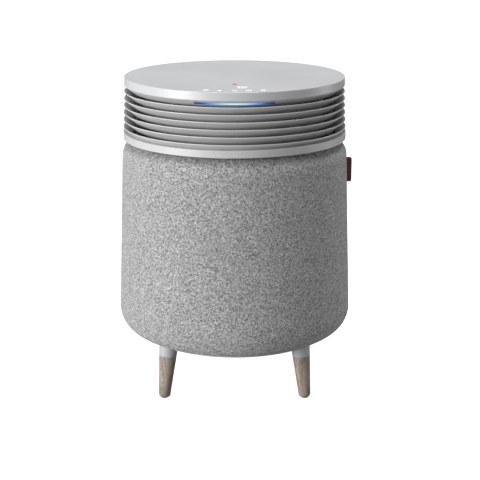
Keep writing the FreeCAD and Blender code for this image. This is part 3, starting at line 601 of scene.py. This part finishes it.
def weave_group():
    """Heathered cloth on a round barrel: two-tone yarn flecks along warp and weft, and the weave's nubs."""
    group, given, made = start_group(
        "Heathered weave",
        [("Dark yarn", "Color", None), ("Pale yarn", "Color", None), ("Yarn", "Float", YARN)],
        [("Colour", "Color"), ("Roughness", "Float"), ("Height", "Float")],
    )
    place = add_node(group, "TexCoord").outputs["Object"]
    parts = add_node(group, "SeparateXYZ", {0: place}).outputs
    turn = maths(group, "ARCTAN2", parts["X"], parts["Y"])
    round_it = maths(group, "MULTIPLY", turn, 0.184)
    flat = add_node(group, "CombineXYZ", {"X": round_it, "Y": parts["Z"], "Z": 0.0}).outputs[0]
    wander = add_node(group, "TexNoise", {"Vector": place, "Scale": 240.0, "Detail": 2.0}).outputs["Color"]
    push = add_node(group, "VectorMath", {0: wander, 1: (0.5, 0.5, 0.5)}, operation="SUBTRACT")
    shift = add_node(group, "VectorMath", {0: push.outputs["Vector"], "Scale": 0.0022},
                     operation="SCALE").outputs["Vector"]
    laid = add_node(group, "VectorMath", {0: flat, 1: shift}, operation="ADD").outputs["Vector"]
    across = add_node(group, "SeparateXYZ", {0: laid}).outputs
    rate = maths(group, "DIVIDE", tau, given.outputs["Yarn"])
    warp = maths(group, "SINE", maths(group, "MULTIPLY", across["X"], rate))
    weft = maths(group, "SINE", maths(group, "MULTIPLY", across["Y"], rate))
    nubs = maths(group, "MULTIPLY", warp, weft)

    def flecks(stretch, seed):
        """Yarn-coloured dashes, longer one way than the other."""
        way = add_node(group, "VectorMath", {0: laid, 1: stretch}, operation="MULTIPLY").outputs["Vector"]
        moved = add_node(group, "VectorMath", {0: way, 1: (seed, seed, seed)}, operation="ADD")
        return noise_at(group, moved.outputs["Vector"], 1.0, 2.0, 0.65)

    level = flecks((300.0, 620.0, 1.0), 3.7)
    upright = flecks((620.0, 300.0, 1.0), 11.3)
    over = in_range(group, nubs, -0.3, 0.3, 0.0, 1.0)
    mixed = maths(group, "ADD", maths(group, "MULTIPLY", level, over),
                  maths(group, "MULTIPLY", upright, maths(group, "SUBTRACT", 1.0, over)))
    yarn_mask = in_range(group, mixed, 0.38, 0.62, 0.0, 1.0)
    relief = in_range(group, nubs, -1.0, 1.0, 0.0, 1.0)
    by_yarn = maths(group, "MULTIPLY", yarn_mask, 0.86)
    mask = maths(group, "ADD", by_yarn, maths(group, "MULTIPLY", relief, 0.14))
    colour = blend_colours(group, mask, given.outputs["Dark yarn"], given.outputs["Pale yarn"])
    group.links.new(colour, made.inputs["Colour"])
    group.links.new(in_range(group, mask, 0.0, 1.0, 0.98, 0.86), made.inputs["Roughness"])
    group.links.new(maths(group, "ADD", relief, maths(group, "MULTIPLY", mixed, 1.2)), made.inputs["Height"])
    return group


def cloth_material():
    material, tree, shader = start_material("barrel_fabric")
    effect = place_group(tree, weave_group(), {
        "Dark yarn": (0.070, 0.070, 0.071, 1), "Pale yarn": (0.78, 0.78, 0.78, 1),
    })
    wire_up(tree, shader, effect, 0.0009)
    shader.inputs["Sheen Weight"].default_value = 0.25
    shader.inputs["Sheen Roughness"].default_value = 0.5
    shader.inputs["Specular IOR Level"].default_value = 0.2
    return material


def rounded_line(corners):
    """Points along an open outline of (radius, height, round) corners; the two ends are plain."""
    line = [Vector(corners[0][:2])]
    for i in range(1, len(corners) - 1):
        here = Vector(corners[i][:2])
        back = (Vector(corners[i - 1][:2]) - here).normalized()
        ahead = (Vector(corners[i + 1][:2]) - here).normalized()
        half_angle = back.angle(ahead) / 2
        round_by = corners[i][2]
        centre = here + (back + ahead).normalized() * (round_by / sin(half_angle))
        start = here + back * (round_by / tan(half_angle)) - centre
        end = here + ahead * (round_by / tan(half_angle)) - centre
        sweep = start.angle_signed(end)
        steps = 14
        for s in range(steps + 1):
            line.append(centre + Matrix.Rotation(-sweep * s / steps, 2) @ start)
    line.append(Vector(corners[-1][:2]))
    return line


def even_steps(line, step):
    """The same line with points no further apart than a step."""
    out = [line[0]]
    for a, b in zip(line, line[1:]):
        pieces = max(1, ceil((b - a).length / step))
        for s in range(1, pieces + 1):
            out.append(a.lerp(b, s / pieces))
    return out


def line_normals(line):
    """Outward normals of a line that runs from the mouth down to the foot."""
    out = []
    for i in range(len(line)):
        way = (line[min(i + 1, len(line) - 1)] - line[max(i - 1, 0)]).normalized()
        out.append(Vector((-way.y, way.x)))
    return out


barrel_line = even_steps(rounded_line([
    (MOUTH_RADIUS, barrel_top),
    (SHOULDER_RADIUS, barrel_top, SHOULDER_ROUND),
    (SKIRT_RADIUS, barrel_bottom, SKIRT_ROUND),
    (FOOT_RADIUS, barrel_bottom),
]), 0.009)
barrel_normals = line_normals(barrel_line)

# Distance from the seam edge, and how much of the cloth's thickness is left there: the edge is
# turned in, and the stitch line pulls the cloth down a little.
HEM_PROFILE = (
    (0.0, 0.0), (0.00012, 0.42), (0.00045, 0.74), (0.0010, 0.94), (0.0018, 1.0), (0.0040, 1.0),
    (0.0054, 0.94), (HEM_STITCH_INSET, 0.80), (0.0070, 0.94), (0.0085, 1.0),
)


def hem_columns(seam_offset):
    """(distance round from the seam plane, thickness share) for one half, at its widest place."""
    half_round = pi * SKIRT_RADIUS
    near = [(seam_offset + d, share) for d, share in HEM_PROFILE]
    far = [(half_round - d, share) for d, share in reversed(near)]
    first, last = near[-1][0], far[0][0]
    middle = [(first + (last - first) * s / 96, 1.0) for s in range(1, 96)]
    return near + middle + far


def cloth_half(name, side, material, body, node):
    """One half of the barrel's cloth as a thin closed sheet; side is -1 in front and 1 behind."""
    columns = hem_columns(CLOTH_SEAM + 0.0001)
    rows = len(barrel_line)
    points, faces = [], []
    for along, share in columns:
        angle = side * along / SKIRT_RADIUS
        for layer in (0, 1):
            for i, (spot, normal) in enumerate(zip(barrel_line, barrel_normals)):
                end_share = min(1.0, 0.25 + min(i, rows - 1 - i) / 2)
                half_thick = CLOTH_THICK / 2 * share * end_share
                middle = spot - normal * (CLOTH_THICK / 2 + 0.00004)
                ripple = 0.00003 * share * noise.noise(Vector((along * 60, spot.y * 60, side)))
                place = middle + normal * ((half_thick + ripple) if layer == 0 else -half_thick)
                points.append((place.x * cos(angle), place.x * sin(angle), place.y))
    stride = 2 * rows
    for c in range(len(columns) - 1):
        for layer in (0, 1):
            for i in range(rows - 1):
                a = c * stride + layer * rows + i
                faces.append((a, a + 1, a + stride + 1, a + stride))
        for i in (0, rows - 1):
            a = c * stride + i
            faces.append((a, a + rows, a + rows + stride, a + stride))
    cloth = add_piece(name, points, faces, material, body)
    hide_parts(node)
    return cloth


def stitch_row(path, outward, pitch, length, thread):
    """Short bowed stitches along a path of points; outward gives the way off the surface at each."""
    points, faces = [], []
    travelled = [0.0]
    for a, b in zip(path, path[1:]):
        travelled.append(travelled[-1] + (b - a).length)

    def at(distance):
        for i in range(len(path) - 1):
            if distance <= travelled[i + 1]:
                share = (distance - travelled[i]) / (travelled[i + 1] - travelled[i])
                return path[i].lerp(path[i + 1], share), outward[i].lerp(outward[i + 1], share).normalized()
        return path[-1], outward[-1]

    ring_plan = ((0.0, 0.35, -0.5), (0.18, 0.9, 0.25), (0.5, 1.0, 0.55), (0.82, 0.9, 0.25), (1.0, 0.35, -0.5))
    sides = 6
    for n in range(int((travelled[-1] - length) / pitch)):
        first = len(points)
        start = pitch * (n + 0.5)
        along = (at(start + length)[0] - at(start)[0]).normalized()
        for share, fat, rise in ring_plan:
            spot, away = at(start + length * share)
            sideways = along.cross(away).normalized()
            for s in range(sides):
                turn = tau * s / sides
                off = away * (sin(turn) * fat + rise) + sideways * (cos(turn) * fat)
                points.append(spot + off * thread)
        for r in range(len(ring_plan) - 1):
            for s in range(sides):
                a, b = first + r * sides + s, first + r * sides + (s + 1) % sides
                faces.append((a, b, b + sides, a + sides))
        faces.append(tuple(first + s for s in range(sides)))
        faces.append(tuple(first + (len(ring_plan) - 1) * sides + s for s in range(sides)))
    return points, faces


def hem_stitches(name, side, material, body):
    """Two rows of stitches, one beside each seam."""
    points, faces = [], []
    for edge in (0, 1):
        turn = (HEM_STITCH_INSET + CLOTH_SEAM) / SKIRT_RADIUS
        angle = side * (turn if edge == 0 else pi - turn)
        path, outward = [], []
        for spot, normal in zip(barrel_line, barrel_normals):
            if spot.x < SHOULDER_RADIUS - SHOULDER_ROUND + 0.004:
                continue
            place = spot - normal * 0.00035
            path.append(Vector((place.x * cos(angle), place.x * sin(angle), place.y)))
            outward.append(Vector((normal.x * cos(angle), normal.x * sin(angle), normal.y)))
        more, more_faces = stitch_row(path, outward, 0.0042, 0.0030, 0.00034)
        faces += [tuple(i + len(points) for i in face) for face in more_faces]
        points += more
    return add_piece(name, points, faces, material, body)


def thread_material(name, dark, pale):
    """Twisted polyester thread."""
    material, tree, shader = start_material(name)
    place = add_node(tree, "TexCoord").outputs["Object"]
    twist = noise_at(tree, place, 2600.0, 2.0, 0.6)
    tree.links.new(blend_colours(tree, twist, (*dark, 1), (*pale, 1)), shader.inputs["Base Color"])
    tree.links.new(in_range(tree, twist, 0.3, 0.7, 0.7, 0.45), shader.inputs["Roughness"])
    bump = add_node(tree, "Bump", {"Height": twist, "Distance": 0.0001})
    tree.links.new(bump.outputs["Normal"], shader.inputs["Normal"])
    return material


cloth_finish = cloth_material()
grey_thread = thread_material("grey_thread", (0.10, 0.10, 0.105), (0.34, 0.34, 0.35))
for name, side, body, node, shell in (
    ("front_cloth", -1, "cabinet", "front_fabric", "front_shell"),
    ("rear_cloth", 1, "door", "rear_fabric", "rear_shell"),
):
    cloth = cloth_half(name, side, cloth_finish, body, node)
    stitches = hem_stitches(name + "_stitches", side, grey_thread, body)


# ---- Leather tab ----
# Two layers of dark brown leather glued and stitched round a raised rim, with a burnished
# edge. The rim is painted lighter than the panel, a painted highlight on the raised rim. Its
# root is sewn into the door's seam and bonded to the shell.

def leather_group():
    """Pebbled aniline leather with darker creases between the pebbles."""
    group, given, made = start_group(
        "Pebbled leather",
        [("Colour", "Color", None), ("Crease", "Color", None)],
        [("Colour", "Color"), ("Roughness", "Float"), ("Height", "Float")],
    )
    place = add_node(group, "TexCoord").outputs["Object"]
    cells = add_node(group, "TexVoronoi", {"Vector": place, "Scale": 1100.0}, feature="SMOOTH_F1")
    pebbles = cells.outputs["Distance"]
    clouds = noise_at(group, place, 180.0, 4.0, 0.65)
    crease = in_range(group, pebbles, 0.25, 0.75, 0.0, 0.75)
    share = in_range(group, clouds, 0.3, 0.7, 0.7, 1.35)
    tone = add_node(group, "VectorMath", {0: given.outputs["Colour"], "Scale": share}, operation="SCALE")
    colour = blend_colours(group, crease, tone.outputs["Vector"], given.outputs["Crease"])
    group.links.new(colour, made.inputs["Colour"])
    group.links.new(in_range(group, clouds, 0.3, 0.7, 0.62, 0.44), made.inputs["Roughness"])
    group.links.new(maths(group, "SUBTRACT", 1.0, pebbles), made.inputs["Height"])
    return group


LEATHER = leather_group()


def leather(name, colour, crease):
    material, tree, shader = start_material(name)
    effect = place_group(tree, LEATHER, {"Colour": (*colour, 1), "Crease": (*crease, 1)})
    wire_up(tree, shader, effect, 0.00012)
    return material


# Distance in from the tab's edge, and share of its half thickness there.
TAB_SECTION = (
    (0.0, 0.0), (0.00003, 0.35), (0.00025, 0.70), (0.0007, 0.93), (0.0012, 1.0), (0.0019, 0.98),
    (0.0023, 0.80), (0.0026, 0.76), (0.0030, 0.80), (0.0037, 0.90), (0.0048, 0.95), (0.0058, 0.97),
)
TAB_STITCH_INSET = 0.0026
TAB_CORNER = 0.0032


def rounded_box(low, high, corner, inset, steps=6):
    """Points round a rounded rectangle in the XZ plane, drawn in by an inset."""
    round_by = max(corner - inset, 0.0004)
    points = []
    for cx, cz, first in (
        (high.x - inset - round_by, high.z - inset - round_by, 0.0),
        (low.x + inset + round_by, high.z - inset - round_by, 90.0),
        (low.x + inset + round_by, low.z + inset + round_by, 180.0),
        (high.x - inset - round_by, low.z + inset + round_by, 270.0),
    ):
        for s in range(steps + 1):
            turn = radians(first + 90.0 * s / steps)
            points.append((cx + round_by * cos(turn), cz + round_by * sin(turn)))
    return points


def leather_tab():
    low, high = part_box("pull_tab")
    middle = (low.y + high.y) / 2
    half_thick = (high.y - low.y) / 2 - 0.0001
    points, faces = [], []
    for way in (-1, 1):
        first = len(points)
        for inset, share in TAB_SECTION:
            for x, z in rounded_box(low, high, TAB_CORNER, inset):
                points.append((x, middle + way * half_thick * share, z))
        count = len(rounded_box(low, high, TAB_CORNER, 0.0))
        for ring in range(len(TAB_SECTION) - 1):
            for i in range(count):
                a = first + ring * count + i
                b = first + ring * count + (i + 1) % count
                faces.append((a, b, b + count, a + count))
        faces.append(tuple(first + (len(TAB_SECTION) - 1) * count + i for i in range(count)))
    # The rim's leather is a lighter copy of the panel's: painted highlight on the raised rim.
    rim_painted_highlight = leather("tab_leather_rim_painted_highlight", (0.260, 0.075, 0.038), (0.090, 0.028, 0.015))
    panel = leather("tab_leather_panel", (0.155, 0.050, 0.029), (0.055, 0.020, 0.012))
    tab = add_piece("leather_tab", points, faces, rim_painted_highlight, "door")
    tab.data.materials.append(panel)
    for face in tab.data.polygons:
        centre = face.center
        edge = min(high.x - centre.x, centre.z - low.z, high.z - centre.z, centre.x - low.x)
        if edge > 0.0026:
            face.material_index = 1
    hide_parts("pull_tab")
    path_points, path_faces = [], []
    brown_thread = thread_material("brown_thread", (0.14, 0.055, 0.030), (0.30, 0.13, 0.075))
    for way in (-1, 1):
        loop = rounded_box(low, high, TAB_CORNER, TAB_STITCH_INSET)
        path = [Vector((x, middle + way * half_thick * 0.80, z)) for x, z in loop + loop[:1]]
        more, more_faces = stitch_row(path, [Vector((0, way, 0))] * len(path), 0.0022, 0.0016, 0.00022)
        path_faces += [tuple(i + len(path_points) for i in face) for face in more_faces]
        path_points += more
    add_piece("leather_tab_stitches", path_points, path_faces, brown_thread, "door")


leather_tab()


# ---- Louvre rings and upper housing ----
# Five thin rings lean outward over a bottom ring, each sprung into notches in ten combs. They
# and the upper housing are moulded in the same pale grey as the cap, with a satin finish.

louvre_plastic = moulded("louvre_plastic", (0.53, 0.53, 0.53), 0.40)
finish(louvre_plastic, "louvre_base", "upper_housing", *("louvre_blade_" + str(i + 1) for i in range(5)))


# ---- Light bar and light guide ----
# A bar set flush in the cone under the cap's front edge, lit from behind by a row of blue lamps:
# brightest in the middle and fading to navy. Its upper half is masked in the housing's grey.

LIT_TOP = 0.50
LIT_EDGE = 0.05


def light_bar_material():
    material, tree, shader = start_material("light_lens")
    place = add_node(tree, "TexCoord").outputs["Object"]
    parts = add_node(tree, "SeparateXYZ", {0: place}).outputs
    across = maths(tree, "ABSOLUTE", parts["X"])
    low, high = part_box("light_bar")
    ends = high.x
    mask_low = low.z + (LIT_TOP - LIT_EDGE) * (high.z - low.z)
    mask_high = low.z + (LIT_TOP + LIT_EDGE) * (high.z - low.z)
    masked = in_range(tree, parts["Z"], mask_low, mask_high, 0.0, 1.0)
    share = in_range(tree, across, 0.0, ends, 0.0, 1.0)
    haze = in_range(tree, noise_at(tree, place, 260.0, 2.0), 0.3, 0.7, -0.02, 0.02)
    glow = add_node(tree, "ValToRGB", {"Fac": maths(tree, "ADD", share, haze)})
    stops = glow.color_ramp.elements
    stops[0].position, stops[0].color = 0.0, (0.56, 0.86, 1.0, 1)
    stops[1].position, stops[1].color = 1.0, (0.003, 0.014, 0.07, 1)
    for position, colour in (
        (0.28, (0.40, 0.70, 1.0, 1)), (0.50, (0.17, 0.38, 1.0, 1)), (0.76, (0.02, 0.09, 0.38, 1)),
    ):
        stops.new(position).color = colour
    lit = blend_colours(tree, masked, glow.outputs["Color"], (0, 0, 0, 1))
    tree.links.new(lit, shader.inputs["Emission Color"])
    shader.inputs["Emission Strength"].default_value = 1.0
    base = blend_colours(tree, masked, (0.008, 0.016, 0.04, 1), (0.53, 0.53, 0.53, 1))
    tree.links.new(base, shader.inputs["Base Color"])
    worn = in_range(tree, noise_at(tree, place, 900.0), 0.3, 0.7, 0.2, 0.3)
    tree.links.new(worn, shader.inputs["Roughness"])
    return material


finish(light_bar_material(), "light_bar")
finish(moulded("guide_plastic", (0.78, 0.78, 0.76), 0.5), "display_guide")


# ---- Table-top cap ----
# One thin pale grey moulding with a satin lacquer and a softened rim. The signs shine
# through it from below, so they show only when they are lit.

cap_plastic = moulded("cap_plastic", (0.56, 0.565, 0.575), 0.36, grain=2200.0, shade=0.015)
finish(cap_plastic, "top_cover")

SIGN_RISE = 0.00005
SIGN_ARC = 0.1575
SIGN_STROKE = 0.0011
FAINT_STROKE = 0.0009
DIGIT_ROW = -0.126
FAINT_ROW = -0.1265
DROP_ROW = -0.0965


def lit_material(name, colour, strength, unlit=(0.6, 0.6, 0.6)):
    """Light that shines through the cap, a little uneven over each sign."""
    material, tree, shader = start_material(name)
    place = add_node(tree, "TexCoord").outputs["Object"]
    patchy = noise_at(tree, place, 420.0, 2.0)
    dim = tuple(c * 0.82 for c in colour)
    tree.links.new(blend_colours(tree, patchy, (*dim, 1), (*colour, 1)), shader.inputs["Emission Color"])
    shader.inputs["Emission Strength"].default_value = strength
    shader.inputs["Base Color"].default_value = (*unlit, 1)
    tree.links.new(in_range(tree, patchy, 0.3, 0.7, 0.35, 0.45), shader.inputs["Roughness"])
    return material


def stroke(line, width):
    """A thin flat ribbon with square ends along a line of (x, y) points, top face up."""
    points, faces = [], []
    for i, (x, y) in enumerate(line):
        ahead = Vector(line[min(i + 1, len(line) - 1)])
        behind = Vector(line[max(i - 1, 0)])
        way = (ahead - behind).normalized()
        off = Vector((-way.y, way.x)) * width / 2
        for level in (0.0, SIGN_RISE):
            points.append((x + off.x, y + off.y, level))
            points.append((x - off.x, y - off.y, level))
    for i in range(len(line) - 1):
        a = 4 * i
        for p, q in ((0, 1), (1, 3), (3, 2), (2, 0)):
            faces.append((a + p, a + q, a + q + 4, a + p + 4))
    last = 4 * (len(line) - 1)
    faces += [(0, 1, 3, 2), (last, last + 1, last + 3, last + 2)]
    return points, faces


def arc_line(cx, cy, radius, first, last, steps=20):
    turns = [radians(first + (last - first) * s / steps) for s in range(steps + 1)]
    return [(cx + radius * cos(t), cy + radius * sin(t)) for t in turns]


def sign_mesh(name, marks, material):
    """Several strokes as one piece; each mark is (line, width, place)."""
    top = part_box("top_cover")[1].z
    points, faces = [], []
    for line, width, (x, y) in marks:
        more, more_faces = stroke(line, width)
        faces += [tuple(i + len(points) for i in face) for face in more_faces]
        points += [(px + x, py + y, pz + top) for px, py, pz in more]
    return add_piece(name, points, faces, material, "cabinet", smooth=False)


# Five touch signs on an arc along the front edge: mode, sleep, power, timer and lock.
SIGNS = (
    [arc_line(0, 0, 0.0036, 0, 360), [(-0.0016, -0.001), (0.0, 0.0014), (0.0016, -0.001)]],
    [arc_line(0, 0, 0.0036, 60, 300), arc_line(0.0022, 0, 0.0030, 105, 255)],
    [arc_line(0, 0, 0.0036, 120, 420), [(0, 0.0012), (0, 0.0046)]],
    [arc_line(0, 0, 0.0036, 0, 360), [(0, 0.0022), (0, 0), (0.0018, 0)]],
    [[(-0.003, 0.0), (0.003, 0.0)], [(-0.003, -0.0036), (0.003, -0.0036)], [(-0.003, 0.0), (-0.003, -0.0036)],
     [(0.003, 0.0), (0.003, -0.0036)], arc_line(0, 0, 0.0022, 0, 180)],
)
sign_marks = []
for sign, x in zip(SIGNS, (-0.0425, -0.0213, 0.0, 0.0213, 0.0425)):
    place = (x, -sqrt(SIGN_ARC ** 2 - x ** 2))
    sign_marks += [(line, SIGN_STROKE, place) for line in sign]
white_light = lit_material("lit_white", (1.0, 1.0, 1.0), 1.0)
sign_mesh("touch_signs", sign_marks, white_light)

# The air reading: seven-stroke digits, as on any gauge, and small marks beside it.

DIGIT_WIDTH = 0.0042
DIGIT_HEIGHT = 0.0125
SEGMENTS = {
    "a": ((0, 1), (1, 1)), "b": ((1, 1), (1, 0.5)), "c": ((1, 0.5), (1, 0)), "d": ((0, 0), (1, 0)),
    "e": ((0, 0.5), (0, 0)), "f": ((0, 1), (0, 0.5)), "g": ((0, 0.5), (1, 0.5)),
}
DIGITS = {"0": "abcdef", "1": "bc", "2": "abged"}
digit_marks = []
for digit, x in zip("102", (0.0036, 0.0098, 0.0160)):
    for segment in DIGITS[digit]:
        line = [((u - 0.5) * DIGIT_WIDTH, (v - 0.5) * DIGIT_HEIGHT) for u, v in SEGMENTS[segment]]
        digit_marks.append((line, SIGN_STROKE, (x, DIGIT_ROW)))
sign_mesh("air_reading", digit_marks, white_light)

faint_light = lit_material("lit_faint", (0.95, 0.96, 1.0), 0.12)
faint_marks = [
    (arc_line(0, 0, 0.0042, 70, 290), FAINT_STROKE, (-0.0295, FAINT_ROW - 0.002)),
    ([(-0.005, 0.001), (-0.002, 0.003), (0.002, -0.001), (0.005, 0.001)], FAINT_STROKE, (0.0290, FAINT_ROW)),
    ([(-0.003, 0.0), (0.003, 0.0)], FAINT_STROKE, (0.0400, FAINT_ROW)),
]
sign_mesh("faint_signs", faint_marks, faint_light)


def status_drop():
    """Air-quality lamp: a small pink drop with a soft point to the rear."""
    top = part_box("top_cover")[1].z
    outline = []
    for s in range(36):
        turn = tau * s / 36
        pull = 1.0 + 0.35 * max(0.0, sin(turn)) ** 6
        outline.append((0.0040 * cos(turn), DROP_ROW + 0.0052 * sin(turn) * pull))
    count = len(outline)
    points = [(x, y, top) for x, y in outline] + [(x, y, top + SIGN_RISE) for x, y in outline]
    faces = [(i, (i + 1) % count, (i + 1) % count + count, i + count) for i in range(count)]
    faces += [tuple(range(count)), tuple(range(count, 2 * count))]
    pink_light = lit_material("lit_pink", (0.72, 0.03, 0.30), 1.0, (0.10, 0.01, 0.05))
    add_piece("status_lamp", points, faces, pink_light, "cabinet", smooth=False)


status_drop()
